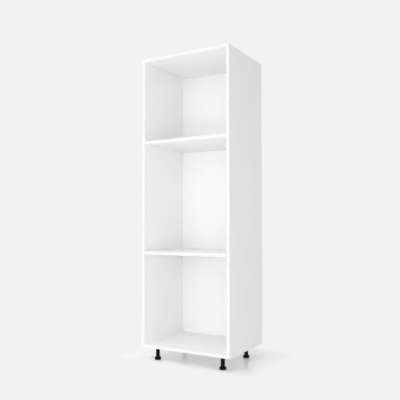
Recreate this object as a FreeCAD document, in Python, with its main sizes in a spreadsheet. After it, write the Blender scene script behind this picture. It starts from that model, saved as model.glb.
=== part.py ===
import FreeCAD, Part
import math
import os
import re

import Sketcher
from FreeCAD import Rotation, Vector

# Tall cabinet carcass on four levelling legs. All lengths are in millimetres.
#
# X runs across the cabinet, the open front looks along -Y, and Z is up. The origin is on the floor, under
# the middle of the carcass. The sheet below holds every driving dimension, and every sketch, pad, bore and
# placement is bound to it.

SIZES = (
    # Carcass
    ("width", 600, "over both side panels"),
    ("depth", 450, "from the bands' faces to the rear of the back panel"),
    ("carcass_height", 1760, "of the side panels"),
    ("leg_height", 80, "from the floor to the underside of the carcass"),
    ("board", 19, "thickness of the faced chipboard"),
    ("back_board", 8, "thickness of the back panel"),
    ("band", 1, "thickness of the edge band"),
    ("band_round", 0.5, "radius along the band's outer edges"),
    ("rebate_width", 10, "width of the rebate that the back panel lies in"),
    ("back_clearance", 0.5, "left round the back panel"),
    # Shelves
    ("lower_shelf_height", 561, "from the underside of the carcass to the underside of the shelf"),
    ("upper_shelf_height", 1234, "from the underside of the carcass to the underside of the shelf"),
    ("shelf_end_clearance", 1, "at each end of a shelf"),
    ("shelf_back_clearance", 2, "between a shelf and the back panel"),
    # Shelf supports
    ("peg_radius", 2.5, "of the support's peg"),
    ("peg_length", 8.5, "of the peg inside the side panel"),
    ("peg_drop", 4, "from the shelf down to the peg's axis"),
    ("peg_bore_depth", 10, "of the bore for the peg"),
    ("support_setback", 37, "from the front and rear of a side panel to a peg"),
    ("support_width", 9, "along the side panel"),
    ("support_reach", 9, "under the shelf"),
    ("support_drop", 8, "height of the support's bracket"),
    ("support_lip", 2.5, "thickness at the tip and at the foot of the bracket"),
    # Cams, bolts and dowels
    ("fit", 0.1, "clearance round a fastener, a peg or a tube in its bore"),
    ("cam_radius", 7.5, "of the cam's bore"),
    ("cam_height", 13, "of the cam"),
    ("cam_bore_depth", 13.5, "of the cam's bore"),
    ("cam_wall", 2, "round the cam's hollow"),
    ("cam_distance", 34, "from a side panel to the cam's axis"),
    ("cam_setback", 128, "from the front and rear of a panel to the cams"),
    ("cam_cross_length", 7, "of the driver's cross"),
    ("cam_cross_width", 1.4, "of the driver's cross"),
    ("cam_cross_depth", 2, "of the driver's cross"),
    ("bolt_bore_radius", 4, "of the bore from the panel's end to the cam"),
    ("bolt_head_radius", 3.2, "of the bolt's head, in the cam"),
    ("bolt_head_length", 3, "of the bolt's head"),
    ("bolt_neck_radius", 2, "of the bolt's neck, in the cam's slot"),
    ("bolt_neck_length", 6.5, "of the bolt's neck"),
    ("bolt_shank_radius", 3.5, "of the bolt's shank"),
    ("bolt_thread_radius", 2.5, "of the bolt's end in the side panel"),
    ("bolt_thread_length", 10, "of the bolt's end in the side panel"),
    ("dowel_radius", 4, "of the dowel"),
    ("dowel_length", 30, "of the dowel"),
    ("dowel_in_side", 10, "of the dowel, inside the side panel"),
    ("dowel_chamfer", 1, "at each end of the dowel"),
    ("dowel_setback", 37, "from the front and rear of a panel to the dowels"),
    ("bore_end", 1, "left at the blind end of a bore"),
    # Screws of the back panel
    ("back_screw_radius", 1.75, "of the shank"),
    ("back_screw_head", 3.5, "radius of the head"),
    ("back_screw_length", 25, "with the head"),
    ("back_screw_rows", 7, "screws up each side"),
    ("back_screw_margin", 60, "from the ends of a side panel to the nearest screw"),
    ("back_screw_spacing", 200, "between the two screws into the top or bottom panel"),
    # Legs
    ("leg_inset", 76, "from the outer face of a side panel to a leg's axis"),
    ("leg_front_setback", 65, "from the front to a front leg's axis"),
    ("leg_rear_setback", 75, "from the rear to a rear leg's axis"),
    ("plate_width", 56, "of the square mounting plate"),
    ("plate_corner", 8, "radius of the mounting plate's corners"),
    ("plate_thickness", 3, "of the mounting plate"),
    ("plate_screw_spacing", 40, "of the square of screws"),
    ("plate_screw_radius", 2, "of the shank"),
    ("plate_screw_head", 3.8, "radius of the head"),
    ("plate_screw_length", 15, "with the head"),
    ("socket_radius", 15, "of the plate's socket, outside"),
    ("socket_depth", 12, "from the carcass to the socket's rim"),
    ("rib_count", 4, "ribs round the socket"),
    ("rib_reach", 9, "of the ribs from the socket along the plate"),
    ("rib_thickness", 2, "of the ribs"),
    ("tube_radius", 12, "of the leg's tube, outside"),
    ("tube_chamfer", 0.6, "round the tube's lower rim"),
    ("stem_radius", 8, "of the foot's stem, in the tube"),
    ("stem_headroom", 6, "between the stem and the mounting plate"),
    ("foot_radius", 20, "of the flared foot"),
    ("foot_height", 13.6, "of the flare"),
    ("foot_shoulder", 7, "radius of the flare's rounded shoulder"),
    ("foot_edge", 1.2, "chamfer round the foot's underside"),
    ("foot_gap", 0.3, "between the foot, screwed right in, and the tube"),
    ("glide_radius", 18.5, "of the glide under the foot"),
    ("glide_thickness", 3, "of the glide"),
    ("glide_edge", 0.8, "chamfer round the glide"),
    ("glide_pin_radius", 4, "of the pin that the foot turns on"),
    ("glide_pin_length", 7, "of the pin that the foot turns on"),
)

# Lengths that follow from the sheet, each used more than once
DERIVED = {
    "inner_width": "width - 2 * board",
    "core_depth": "depth - band",
    "cross_depth": "core_depth - back_board",
    "band_front": "-depth / 2",
    "core_front": "band_front + band",
    "carcass_top": "leg_height + carcass_height",
    "rear_support": "cross_depth - support_setback",
    "rear_cam": "cross_depth - cam_setback",
    "rear_dowel": "cross_depth - dowel_setback",
    "shelf_width": "inner_width - 2 * shelf_end_clearance",
    "shelf_depth": "cross_depth - shelf_back_clearance",
    "back_width": "inner_width + 2 * rebate_width - 2 * back_clearance",
    "back_height": "carcass_height - 2 * back_clearance",
    "back_screw_x": "(inner_width + rebate_width) / 2",
    "back_screw_span": "carcass_height - 2 * back_screw_margin",
    "leg_x": "width / 2 - leg_inset",
    "front_leg_y": "leg_front_setback - depth / 2",
    "rear_leg_y": "depth / 2 - leg_rear_setback",
    "plate_screw_x": "plate_screw_spacing / 2",
    "foot_top": "glide_thickness + foot_height",
    "tube_foot": "foot_top + foot_gap",
    "tube_top": "leg_height - plate_thickness",
    "stem_top": "tube_top - stem_headroom - glide_thickness",
}

# Starting values for what the sheet then sets, and how near two lengths count as the same
START = 1.0
CLOSE = 0.001

TOP_DOWN = Rotation(Vector(1, 0, 0), 180)
FACING = {
    "left": Rotation(Vector(0, 1, 0), -90),
    "right": Rotation(Vector(0, 1, 0), 90),
    "front": Rotation(Vector(1, 0, 0), 90),
}


# Sheet and expressions


def fill_sheet(doc):
    """Writes the driving dimensions into the document's sheet."""
    sheet = doc.addObject("Spreadsheet::Sheet", "Sizes")
    for row, (alias, value, note) in enumerate(SIZES, start=1):
        sheet.set(f"A{row}", alias)
        sheet.set(f"B{row}", str(value))
        sheet.set(f"C{row}", note)
        sheet.setAlias(f"B{row}", alias)
    doc.recompute()
    return sheet


def bind(text):
    """Turns a sum of size names into an expression on the sheet."""
    def cell(match):
        word = match.group(0)
        if word in DERIVED:
            return "(" + bind(DERIVED[word]) + ")"
        return "Sizes." + word
    return re.sub("[a-z][a-z_]*", cell, text)


def place(item, x="0", y="0", z="0", turn=None):
    """Binds an object's place to the sheet, after an optional turn."""
    if turn is not None:
        item.Placement.Rotation = turn
    for axis, text in (("x", x), ("y", y), ("z", z)):
        if text != "0":
            item.setExpression("Placement.Base." + axis, bind(text))
    return item


# Sketches and features


def new_body(doc, label):
    body = doc.addObject("PartDesign::Body", label)
    body.Label = label
    return body


def origin_feature(body, role):
    return next(item for item in body.Origin.OriginFeatures if item.Role == role)


def new_sketch(body, name, plane, offset="0"):
    """Adds a sketch on one of the body's own planes, moved along the plane's normal."""
    sketch = body.newObject("Sketcher::SketchObject", name)
    sketch.AttachmentSupport = [(origin_feature(body, plane), "")]
    sketch.MapMode = "FlatFace"
    if offset != "0":
        sketch.setExpression("AttachmentOffset.Base.z", bind(offset))
    return sketch


def hold(sketch, geometry, end, spot):
    """Ties a point to the sketch's origin by two bound distances, measured backwards where negative."""
    for direction, other_axis, text in (("X", -2, spot[0]), ("Y", -1, spot[1])):
        kind = "Distance" + direction
        if text == "0":
            sketch.addConstraint(Sketcher.Constraint("PointOnObject", geometry, end, other_axis))
            continue
        if text.startswith("-"):
            rule = Sketcher.Constraint(kind, geometry, end, -1, 1, START)
            text = text[1:]
        else:
            rule = Sketcher.Constraint(kind, -1, 1, geometry, end, START)
        number = sketch.addConstraint(rule)
        sketch.setExpression(f"Constraints[{number}]", bind(text))


def outline(sketch, corners):
    """Draws a closed outline of straight lines through corners that are held by the sheet."""
    count = len(corners)
    starts = []
    for number in range(count):
        angle = 2 * math.pi * number / count
        starts.append(Vector(math.cos(angle), math.sin(angle), 0))
    for number in range(count):
        sketch.addGeometry(Part.LineSegment(starts[number], starts[(number + 1) % count]), False)
    for number in range(count):
        sketch.addConstraint(Sketcher.Constraint("Coincident", number, 2, (number + 1) % count, 1))
    for number, corner in enumerate(corners):
        hold(sketch, number, 1, corner)


def circles(sketch, radius, spots):
    """Draws a circle of one bound radius round each spot."""
    for spot in spots:
        number = sketch.addGeometry(Part.Circle(Vector(0, 0, 0), Vector(0, 0, 1), START), False)
        hold(sketch, number, 3, spot)
        rule = sketch.addConstraint(Sketcher.Constraint("Radius", number, START))
        sketch.setExpression(f"Constraints[{rule}]", bind(radius))


def pad(body, sketch, length, reverse=False, both_ways=False):
    feature = body.newObject("PartDesign::Pad", sketch.Name + "_pad")
    feature.Profile = sketch
    feature.Reversed = reverse
    feature.Midplane = both_ways
    feature.setExpression("Length", bind(length))
    return feature


def pocket(body, sketch, depth, reverse=False):
    feature = body.newObject("PartDesign::Pocket", sketch.Name + "_pocket")
    feature.Profile = sketch
    feature.Reversed = reverse
    feature.setExpression("Length", bind(depth))
    return feature


def revolve(body, sketch):
    feature = body.newObject("PartDesign::Revolution", sketch.Name + "_turned")
    feature.Profile = sketch
    feature.ReferenceAxis = (sketch, ["V_Axis"])
    feature.Angle = 360
    return feature


def mirror(body, features, plane):
    feature = body.newObject("PartDesign::Mirrored", features[0].Name + "_mirrored")
    feature.Originals = features
    feature.MirrorPlane = (origin_feature(body, plane), [""])
    body.Tip = feature
    return feature


def around(body, feature, count):
    pattern = body.newObject("PartDesign::PolarPattern", feature.Name + "_around")
    pattern.Originals = [feature]
    pattern.Axis = (origin_feature(body, "Z_Axis"), [""])
    pattern.Angle = 360
    pattern.setExpression("Occurrences", bind(count))
    body.Tip = pattern
    return pattern


def soften(body, kind, radius, chosen):
    """Adds a fillet or chamfer on the edges of the body's solid that the test chooses."""
    body.Document.recompute()
    base = body.Tip
    names = []
    for number, edge in enumerate(base.Shape.Edges, start=1):
        if chosen(edge):
            names.append(f"Edge{number}")
    feature = body.newObject("PartDesign::" + kind, base.Name + "_softened")
    feature.Base = (base, names)
    feature.setExpression("Radius" if kind == "Fillet" else "Size", bind(radius))
    body.Tip = feature
    return feature


def csk_holes(body, sketch, radius, head, reverse):
    """Bores countersunk holes through the body at the sketch's circles."""
    body.Document.recompute()
    hole = body.newObject("PartDesign::Hole", sketch.Name + "_countersunk")
    hole.Profile = sketch
    hole.DepthType = "ThroughAll"
    hole.ThreadType = "None"
    hole.HoleCutType = "Countersink"
    hole.HoleCutCustomValues = True
    hole.HoleCutCountersinkAngle = 90
    hole.Reversed = reverse
    hole.setExpression("Diameter", bind(f"2 * ({radius} + fit)"))
    hole.setExpression("HoleCutDiameter", bind(f"2 * ({head} + fit)"))
    return hole


def circle_at(radius, height):
    """Returns a test for a full circle of that radius about Z, at that height."""
    def chosen(edge):
        curve = edge.Curve
        if not isinstance(curve, Part.Circle):
            return False
        same_radius = math.isclose(curve.Radius, radius, abs_tol=CLOSE)
        return same_radius and math.isclose(curve.Center.z, height, abs_tol=CLOSE)
    return chosen


def front_edges(run):
    """Returns a test for straight edges along one axis, on the front plane of a band."""
    def chosen(edge):
        box = edge.BoundBox
        long_enough = {"x": box.XLength, "z": box.ZLength}[run] > box.YLength + box.DiagonalLength / 2
        return long_enough and math.isclose(box.YMin, 0, abs_tol=CLOSE)
    return chosen


def group(doc, label, piece, spots):
    """Makes one node of separate copies of a piece, each at its own bound place."""
    links = []
    for number, (x, y, z, turn) in enumerate(spots, start=1):
        link = doc.addObject("App::Link", f"{label}_{number}")
        link.LinkedObject = piece
        links.append(place(link, x, y, z, turn))
    node = doc.addObject("Part::Compound", label)
    node.Label = label
    node.Links = links
    return node


# Boards


def side_panels(doc):
    """The left panel with its rebate and bores, and the right one as its mirror image."""
    body = new_body(doc, "side_panel_left")
    plan = new_sketch(body, "side_plan", "XY_Plane")
    outline(plan, (
        ("0", "0"),
        ("board", "0"),
        ("board", "cross_depth"),
        ("board - rebate_width", "cross_depth"),
        ("board - rebate_width", "core_depth"),
        ("0", "core_depth"),
    ))
    pad(body, plan, "carcass_height")

    ends = ("board / 2", "carcass_height - board / 2")
    bolts = new_sketch(body, "side_bolt_bores", "YZ_Plane", "board")
    circles(bolts, "bolt_thread_radius + fit", [(y, z) for y in ("cam_setback", "rear_cam") for z in ends])
    pocket(body, bolts, "bolt_thread_length + bore_end")
    dowels = new_sketch(body, "side_dowel_bores", "YZ_Plane", "board")
    circles(dowels, "dowel_radius + fit", [(y, z) for y in ("dowel_setback", "rear_dowel") for z in ends])
    pocket(body, dowels, "dowel_in_side + bore_end")
    pegs = new_sketch(body, "side_peg_bores", "YZ_Plane", "board")
    heights = ("lower_shelf_height - peg_drop", "upper_shelf_height - peg_drop")
    circles(pegs, "peg_radius + fit", [(y, z) for y in ("support_setback", "rear_support") for z in heights])
    pocket(body, pegs, "peg_bore_depth")

    pilot = new_sketch(body, "side_pilot_hole", "XZ_Plane", "-cross_depth")
    circles(pilot, "back_screw_radius + fit", [("board - rebate_width / 2", "back_screw_margin")])
    first = pocket(body, pilot, "back_screw_length - back_board + bore_end", reverse=True)
    row = body.newObject("PartDesign::LinearPattern", "side_pilot_holes")
    row.Originals = [first]
    row.Direction = (origin_feature(body, "Z_Axis"), [""])
    row.setExpression("Length", bind("back_screw_span"))
    row.setExpression("Occurrences", bind("back_screw_rows"))
    body.Tip = row
    place(body, "-width / 2", "core_front", "leg_height")

    right = doc.addObject("Part::Mirroring", "side_panel_right")
    right.Label = "side_panel_right"
    right.Source = body
    right.Base = Vector(0, 0, 0)
    right.Normal = Vector(1, 0, 0)
    return [body, right]


def cross_panel(doc, label, legs):
    """The top or bottom panel, drawn with its outer face down. Cams go in from that face."""
    body = new_body(doc, label)
    plan = new_sketch(body, label + "_plan", "XY_Plane")
    outline(plan, (
        ("-inner_width / 2", "0"),
        ("inner_width / 2", "0"),
        ("inner_width / 2", "cross_depth"),
        ("-inner_width / 2", "cross_depth"),
    ))
    pad(body, plan, "board")

    cams = new_sketch(body, label + "_cam_bores", "XY_Plane")
    cam_x = "inner_width / 2 - cam_distance"
    circles(cams, "cam_radius", [(cam_x, "cam_setback"), (cam_x, "rear_cam")])
    cam_bores = pocket(body, cams, "cam_bore_depth", reverse=True)
    bolts = new_sketch(body, label + "_bolt_bores", "YZ_Plane", "inner_width / 2")
    circles(bolts, "bolt_bore_radius", [("cam_setback", "board / 2"), ("rear_cam", "board / 2")])
    bolt_bores = pocket(body, bolts, "cam_distance")
    dowels = new_sketch(body, label + "_dowel_bores", "YZ_Plane", "inner_width / 2")
    circles(dowels, "dowel_radius + fit", [("dowel_setback", "board / 2"), ("rear_dowel", "board / 2")])
    dowel_bores = pocket(body, dowels, "dowel_length - dowel_in_side + bore_end")
    mirror(body, [cam_bores, bolt_bores, dowel_bores], "YZ_Plane")

    pilots = new_sketch(body, label + "_pilot_holes", "XZ_Plane", "-cross_depth")
    circles(pilots, "back_screw_radius + fit", (
        ("-back_screw_spacing / 2", "board / 2"),
        ("back_screw_spacing / 2", "board / 2"),
    ))
    pocket(body, pilots, "back_screw_length - back_board + bore_end", reverse=True)
    if not legs:
        return place(body, y="core_front", z="carcass_top", turn=Rotation(Vector(0, 1, 0), 180))

    screws = new_sketch(body, label + "_leg_screw_holes", "XY_Plane")
    spots = []
    for leg_y in ("front_leg_y - core_front", "rear_leg_y - core_front"):
        for sign_y in "-+":
            for sign_x in "-+":
                spots.append((f"leg_x {sign_x} plate_screw_x", f"{leg_y} {sign_y} plate_screw_x"))
    circles(screws, "plate_screw_radius + fit", spots)
    leg_holes = pocket(body, screws, "plate_screw_length - plate_thickness + bore_end", reverse=True)
    mirror(body, [leg_holes], "YZ_Plane")
    return place(body, y="core_front", z="leg_height")


def shelf(doc, label, height):
    """A loose shelf on its four supports."""
    board = doc.addObject("Part::Box", label)
    board.Label = label
    board.setExpression("Length", bind("shelf_width"))
    board.setExpression("Width", bind("shelf_depth"))
    board.setExpression("Height", bind("board"))
    return place(board, "-shelf_width / 2", "core_front", f"leg_height + {height}")


def back_panel(doc):
    """The back panel, drawn from its rear face, with its countersunk screw holes."""
    body = new_body(doc, "back_panel")
    face = new_sketch(body, "back_face", "XZ_Plane")
    outline(face, (
        ("-back_width / 2", "0"),
        ("back_width / 2", "0"),
        ("back_width / 2", "back_height"),
        ("-back_width / 2", "back_height"),
    ))
    pad(body, face, "back_board")
    holes = new_sketch(body, "back_screw_holes", "XZ_Plane")
    spots = [(x, f"{z} - leg_height - back_clearance") for x, z in back_screw_spots(doc)]
    circles(holes, "back_screw_radius", spots)
    csk_holes(body, holes, "back_screw_radius", "back_screw_head", reverse=True)
    return place(body, y="depth / 2", z="leg_height + back_clearance")


def edge_band(doc, label, length, x, z, upright):
    """A strip of edge band with rounded outer edges, upright or lying across the cabinet."""
    body = new_body(doc, label)
    plane = "XY_Plane" if upright else "YZ_Plane"
    section = new_sketch(body, label + "_section", plane)
    far = ("board", "band") if upright else ("band", "board")
    outline(section, (("0", "0"), (far[0], "0"), far, ("0", far[1])))
    pad(body, section, length)
    soften(body, "Fillet", "band_round", front_edges("z" if upright else "x"))
    return place(body, x, "band_front", z)


def edge_bands(doc):
    """One band on the front of each board."""
    side = "carcass_height"
    shelf_x = "-shelf_width / 2"
    cross_x = "-inner_width / 2"
    return [
        edge_band(doc, "side_panel_left_edge_band", side, "-width / 2", "leg_height", True),
        edge_band(doc, "side_panel_right_edge_band", side, "inner_width / 2", "leg_height", True),
        edge_band(doc, "top_panel_edge_band", "inner_width", cross_x, "carcass_top - board", False),
        edge_band(doc, "bottom_panel_edge_band", "inner_width", cross_x, "leg_height", False),
        edge_band(doc, "lower_shelf_edge_band", "shelf_width", shelf_x,
                  "leg_height + lower_shelf_height", False),
        edge_band(doc, "upper_shelf_edge_band", "shelf_width", shelf_x,
                  "leg_height + upper_shelf_height", False),
    ]


# Fasteners


def turned(doc, label, profile):
    """A piece turned about Z from a profile of radius and height."""
    body = new_body(doc, label)
    half = new_sketch(body, label + "_profile", "XZ_Plane")
    outline(half, profile)
    revolve(body, half)
    return body


def csk_screw(doc, label, radius, head, length):
    """A countersunk screw that points up, with the face of its head at zero."""
    return turned(doc, label, (
        ("0", "0"),
        (head, "0"),
        (radius, f"{head} - {radius}"),
        (radius, f"{length} - 2 * {radius}"),
        ("0", length),
    ))


def support_piece(doc):
    """A shelf support: a bracket under the shelf, and a peg in the side panel on its left."""
    body = new_body(doc, "shelf_support")
    profile = new_sketch(body, "support_profile", "XZ_Plane")
    outline(profile, (
        ("0", "0"),
        ("support_reach", "0"),
        ("support_reach", "-support_lip"),
        ("support_lip", "-support_drop"),
        ("0", "-support_drop"),
    ))
    pad(body, profile, "support_width", both_ways=True)
    peg = new_sketch(body, "support_peg", "YZ_Plane")
    circles(peg, "peg_radius", [("0", "-peg_drop")])
    pad(body, peg, "peg_length", reverse=True)
    return body


def shelf_supports(doc):
    """Four supports for each shelf."""
    piece = support_piece(doc)
    face_left = Rotation(Vector(0, 0, 1), 180)
    nodes = []
    for name in ("lower_shelf", "upper_shelf"):
        spots = []
        for y in ("core_front + support_setback", "core_front + rear_support"):
            height = f"leg_height + {name}_height"
            spots.append(("-inner_width / 2", y, height, None))
            spots.append(("inner_width / 2", y, height, face_left))
        nodes.append(group(doc, name + "_supports", piece, spots))
    return nodes


def cam_piece(doc):
    """A cam with its driver's cross below, a hollow for the bolt's head and a slot for its neck."""
    drum = doc.addObject("Part::Cylinder", "cam_drum")
    drum.setExpression("Radius", bind("cam_radius - fit"))
    drum.setExpression("Height", bind("cam_height"))
    hollow = doc.addObject("Part::Cylinder", "cam_hollow")
    hollow.setExpression("Radius", bind("cam_radius - cam_wall"))
    hollow.setExpression("Height", bind("2 * (bolt_head_radius + fit)"))
    place(hollow, z="board / 2 - bolt_head_radius - fit")
    slot = doc.addObject("Part::Box", "cam_slot")
    slot.setExpression("Length", bind("cam_radius"))
    slot.setExpression("Width", bind("2 * (bolt_neck_radius + fit)"))
    slot.setExpression("Height", bind("2 * (bolt_neck_radius + fit)"))
    place(slot, "0", "-bolt_neck_radius - fit", "board / 2 - bolt_neck_radius - fit")
    cuts = [hollow, slot]
    for name, length, width in (("cam_cross_along", "cam_cross_length", "cam_cross_width"),
                                ("cam_cross_over", "cam_cross_width", "cam_cross_length")):
        bar = doc.addObject("Part::Box", name)
        bar.setExpression("Length", bind(length))
        bar.setExpression("Width", bind(width))
        bar.setExpression("Height", bind("cam_cross_depth"))
        cuts.append(place(bar, f"-{length} / 2", f"-{width} / 2"))
    tool = doc.addObject("Part::MultiFuse", "cam_cuts")
    tool.Shapes = cuts
    cam = doc.addObject("Part::Cut", "cam")
    cam.Base = drum
    cam.Tool = tool
    return cam


def bolt_piece(doc):
    """A connecting bolt that points up, from its head in the cam to its end in the side panel."""
    neck = "bolt_head_length + bolt_neck_length"
    face = "cam_distance + bolt_head_length / 2"
    return turned(doc, "cam_bolt", (
        ("0", "0"),
        ("bolt_head_radius", "0"),
        ("bolt_head_radius", "bolt_head_length"),
        ("bolt_neck_radius", "bolt_head_length"),
        ("bolt_neck_radius", neck),
        ("bolt_shank_radius", neck),
        ("bolt_shank_radius", face),
        ("bolt_thread_radius", face),
        ("bolt_thread_radius", f"{face} + bolt_thread_length"),
        ("0", f"{face} + bolt_thread_length"),
    ))


def dowel_piece(doc):
    """A dowel with chamfered ends."""
    return turned(doc, "dowel", (
        ("0", "0"),
        ("dowel_radius - dowel_chamfer", "0"),
        ("dowel_radius", "dowel_chamfer"),
        ("dowel_radius", "dowel_length - dowel_chamfer"),
        ("dowel_radius - dowel_chamfer", "dowel_length"),
        ("0", "dowel_length"),
    ))


def corner_joints(doc):
    """Cams, bolts and dowels between the side panels and the top and bottom panels."""
    cam = cam_piece(doc)
    bolt = bolt_piece(doc)
    dowel = dowel_piece(doc)
    half_turn = Rotation(Vector(0, 0, 1), 180)
    panels = (
        ("bottom", "leg_height", "leg_height + board / 2", {"left": half_turn, "right": None}),
        ("top", "carcass_top", "carcass_top - board / 2",
         {"left": TOP_DOWN.multiply(half_turn), "right": TOP_DOWN}),
    )
    nodes = []
    for name, outer, middle, cam_turns in panels:
        cams, bolts, dowels = [], [], []
        for side, sign in (("left", "-"), ("right", "")):
            turn = FACING[side]
            for y in ("cam_setback", "rear_cam"):
                cam_x = f"{sign}(inner_width / 2 - cam_distance)"
                bolt_x = f"{sign}(inner_width / 2 - cam_distance - bolt_head_length / 2)"
                cams.append((cam_x, f"core_front + {y}", outer, cam_turns[side]))
                bolts.append((bolt_x, f"core_front + {y}", middle, turn))
            for y in ("dowel_setback", "rear_dowel"):
                dowel_x = f"{sign}(inner_width / 2 - dowel_length + dowel_in_side)"
                dowels.append((dowel_x, f"core_front + {y}", middle, turn))
        nodes.append(group(doc, name + "_cam_locks", cam, cams))
        nodes.append(group(doc, name + "_cam_bolts", bolt, bolts))
        nodes.append(group(doc, name + "_dowels", dowel, dowels))
    return nodes


def back_screw_spots(doc):
    """Returns the place of each screw across the back and up it, as sums of sizes."""
    rows = int(doc.getObject("Sizes").get("back_screw_rows"))
    spots = []
    for row in range(rows):
        height = f"leg_height + back_screw_margin + back_screw_span * {row} / ({rows} - 1)"
        spots.append(("-back_screw_x", height))
        spots.append(("back_screw_x", height))
    for height in ("leg_height + board / 2", "carcass_top - board / 2"):
        spots.append(("-back_screw_spacing / 2", height))
        spots.append(("back_screw_spacing / 2", height))
    return spots


def back_screws(doc):
    """The screws that hold the back panel in its rebate."""
    screw = csk_screw(doc, "back_screw", "back_screw_radius", "back_screw_head", "back_screw_length")
    spots = [(x, "depth / 2", z, FACING["front"]) for x, z in back_screw_spots(doc)]
    return group(doc, "back_panel_screws", screw, spots)


# Levelling legs


def leg_plate(doc, label):
    """A mounting plate, drawn down from the carcass, with a socket, its ribs and four screw holes."""
    body = new_body(doc, label)
    square = new_sketch(body, label + "_square", "XY_Plane")
    half = "plate_width / 2"
    outline(square, (("-" + half, "-" + half), (half, "-" + half), (half, half), ("-" + half, half)))
    pad(body, square, "plate_thickness", reverse=True)
    soften(body, "Fillet", "plate_corner",
           lambda edge: edge.BoundBox.ZLength > edge.BoundBox.XLength + edge.BoundBox.YLength)

    rib = new_sketch(body, label + "_rib", "XZ_Plane")
    outline(rib, (
        ("tube_radius + 2 * fit", "-plate_thickness"),
        ("socket_radius + rib_reach", "-plate_thickness"),
        ("socket_radius", "-socket_depth"),
        ("tube_radius + 2 * fit", "-socket_depth"),
    ))
    rib_pad = pad(body, rib, "rib_thickness", both_ways=True)
    around(body, rib_pad, "rib_count")

    ring = new_sketch(body, label + "_socket", "XY_Plane", "-plate_thickness")
    circles(ring, "socket_radius", [("0", "0")])
    circles(ring, "tube_radius + fit", [("0", "0")])
    pad(body, ring, "socket_depth - plate_thickness", reverse=True)

    holes = new_sketch(body, label + "_screw_holes", "XY_Plane", "-plate_thickness")
    across = "plate_screw_x"
    spots = [(x + across, y + across) for x in ("-", "") for y in ("-", "")]
    circles(holes, "plate_screw_radius", spots)
    csk_holes(body, holes, "plate_screw_radius", "plate_screw_head", reverse=True)
    return body


def leg_tube(doc, label):
    """The leg's tube, from just over the foot up to the mounting plate."""
    return turned(doc, label, (
        ("stem_radius + fit", "0"),
        ("tube_radius - tube_chamfer", "0"),
        ("tube_radius", "tube_chamfer"),
        ("tube_radius", "tube_top - tube_foot"),
        ("stem_radius + fit", "tube_top - tube_foot"),
    ))


def leg_foot(doc, label, sheet):
    """A flared foot with a rounded shoulder, on the stem that screws into the tube."""
    body = turned(doc, label, (
        ("glide_pin_radius + fit", "0"),
        ("foot_radius - foot_edge", "0"),
        ("foot_radius", "foot_edge"),
        ("foot_radius", "foot_height"),
        ("stem_radius", "foot_height"),
        ("stem_radius", "stem_top"),
        ("0", "stem_top"),
        ("0", "glide_pin_length + bore_end"),
        ("glide_pin_radius + fit", "glide_pin_length + bore_end"),
    ))
    shoulder = circle_at(float(sheet.get("foot_radius")), float(sheet.get("foot_height")))
    soften(body, "Fillet", "foot_shoulder", shoulder)
    return body


def leg_glide(doc, label):
    """The glide that stands on the floor, with the pin that the foot turns on."""
    return turned(doc, label, (
        ("0", "0"),
        ("glide_radius - glide_edge", "0"),
        ("glide_radius", "glide_edge"),
        ("glide_radius", "glide_thickness"),
        ("glide_pin_radius", "glide_thickness"),
        ("glide_pin_radius", "glide_thickness + glide_pin_length"),
        ("0", "glide_thickness + glide_pin_length"),
    ))


def legs(doc, sheet):
    """Four legs, each a mounting plate, a tube, a foot and a glide, and all the plates' screws."""
    screw = csk_screw(doc, "plate_screw", "plate_screw_radius", "plate_screw_head", "plate_screw_length")
    nodes = []
    spots = []
    for row, y in (("front", "front_leg_y"), ("rear", "rear_leg_y")):
        for side, x in (("left", "-leg_x"), ("right", "leg_x")):
            corner = f"{row}_{side}"
            nodes.append(place(leg_plate(doc, "leg_plate_" + corner), x, y, "leg_height"))
            nodes.append(place(leg_tube(doc, "leg_tube_" + corner), x, y, "tube_foot"))
            nodes.append(place(leg_foot(doc, "leg_foot_" + corner, sheet), x, y, "glide_thickness"))
            nodes.append(place(leg_glide(doc, "leg_glide_" + corner), x, y))
            for sign_x in "-+":
                for sign_y in "-+":
                    spots.append((f"{x} {sign_x} plate_screw_x", f"{y} {sign_y} plate_screw_x",
                                  "leg_height - plate_thickness", None))
    nodes.append(group(doc, "leg_plate_screws", screw, spots))
    return nodes


# Check and export


def check(doc):
    """Stops if any object of the document failed to build."""
    for item in doc.Objects:
        if "Invalid" in item.State or "Error" in item.State:
            raise RuntimeError(f"{item.Label} is {item.State}")


def export(nodes):
    """Writes each piece to its own file, once all of them are sound."""
    for node in nodes:
        if node.Shape.isNull() or not node.Shape.isValid():
            raise RuntimeError(f"{node.Label} has no sound shape")
    os.makedirs("parts", exist_ok=True)
    for node in nodes:
        node.Shape.exportStep(f"parts/{node.Label}.step")
        print(f"{node.Label}: {len(node.Shape.Solids)} solid(s), {node.Shape.Volume:.0f} mm3")


def main():
    doc = FreeCAD.newDocument("TallCabinetCarcass")
    sheet = fill_sheet(doc)
    nodes = side_panels(doc)
    nodes.append(cross_panel(doc, "top_panel", legs=False))
    nodes.append(cross_panel(doc, "bottom_panel", legs=True))
    nodes.append(back_panel(doc))
    nodes.append(shelf(doc, "lower_shelf", "lower_shelf_height"))
    nodes.append(shelf(doc, "upper_shelf", "upper_shelf_height"))
    nodes.extend(edge_bands(doc))
    nodes.extend(shelf_supports(doc))
    nodes.extend(corner_joints(doc))
    nodes.append(back_screws(doc))
    nodes.extend(legs(doc, sheet))
    doc.recompute()
    check(doc)
    export(nodes)


main()
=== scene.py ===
"""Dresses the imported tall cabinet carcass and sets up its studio.

The boards, bands, mounting plates, tubes, glides, bolts and dowels keep their CAD shapes and
get materials. The screws, cams, shelf supports and levelling feet, which are plainer in the
CAD, are modelled here in full. Every length is in metres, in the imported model's own frame.
"""

import logging
import math
from collections.abc import Callable, Iterable, Sequence
from dataclasses import dataclass, replace
from enum import Enum

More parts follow.
